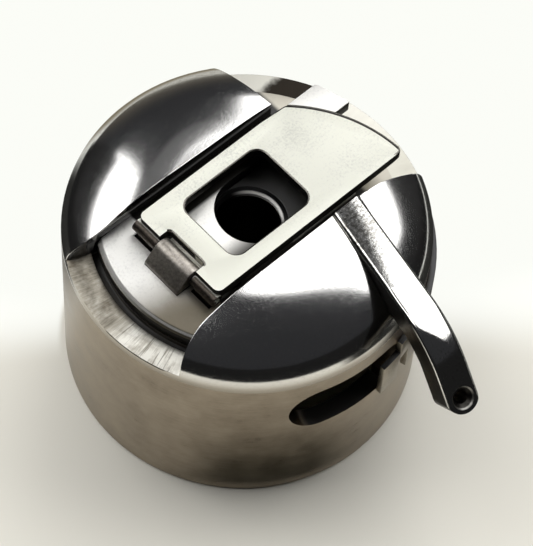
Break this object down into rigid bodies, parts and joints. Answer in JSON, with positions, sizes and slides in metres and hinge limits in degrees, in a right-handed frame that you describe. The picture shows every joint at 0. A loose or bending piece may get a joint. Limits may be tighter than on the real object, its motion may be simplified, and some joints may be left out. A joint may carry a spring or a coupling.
{
  "type": "bobbin case",
  "caption": "Domed steel bobbin case for a sewing machine: open cup with thread window and leaf spring, sprung latch lever across the dome, and a bent position finger with an eye.",
  "frame": {"origin": "on the axis of the post's bore, in the plane of the open rim", "axes": "+Z from the rim to the domed end, +X along the latch channel from the hinge to the lever's wide end"},
  "size_m": [0.025, 0.0309, 0.0177],
  "materials": {
    "cup_steel": "satin turned wall, mirror-polished dome",
    "post_steel": "smooth turned",
    "slide_steel": "satin with machining marks",
    "lever_steel": "pale satin",
    "pin_steel": "smooth",
    "spring_steel": "smooth drawn wire",
    "finger_steel": "polished",
    "leaf_steel": "satin spring strip",
    "screw_steel": "turned"
  },
  "bodies": {
    "case": {"case_body": "cup_steel", "center_post": "post_steel", "position_finger": "finger_steel", "finger_rivets": "pin_steel", "tension_spring": "leaf_steel", "fixing_screw": "screw_steel", "latch_spring": "spring_steel"},
    "slide": {"latch_slide": "slide_steel"},
    "lever": {"latch_lever": "lever_steel", "hinge_pin": "pin_steel"},
    "adjuster": {"tension_screw": "screw_steel"}
  },
  "joints": [
    {"name": "slide_travel", "type": "slide", "parent": "case", "child": "slide", "axis": [-1, 0, 0], "range_m": [0, 0.00195], "stiffness_N_per_m": 300, "deforming": ["latch_spring"]},
    {"name": "lever_lift", "type": "hinge", "parent": "slide", "child": "lever", "pos_m": [-0.00615, 0, 0.01657], "axis": [0, -1, 0], "range_deg": [0, 60]},
    {"name": "tension_screw_turn", "type": "hinge", "parent": "case", "child": "adjuster", "pos_m": [0.01228, -0.00173, 0.01], "axis": [0.9903, -0.1392, 0], "range_deg": [-180, 180]}
  ],
  "couplings": [
    {"joint": "lever_lift", "follows": "slide_travel", "rad_per_m": 537.02}
  ]
}
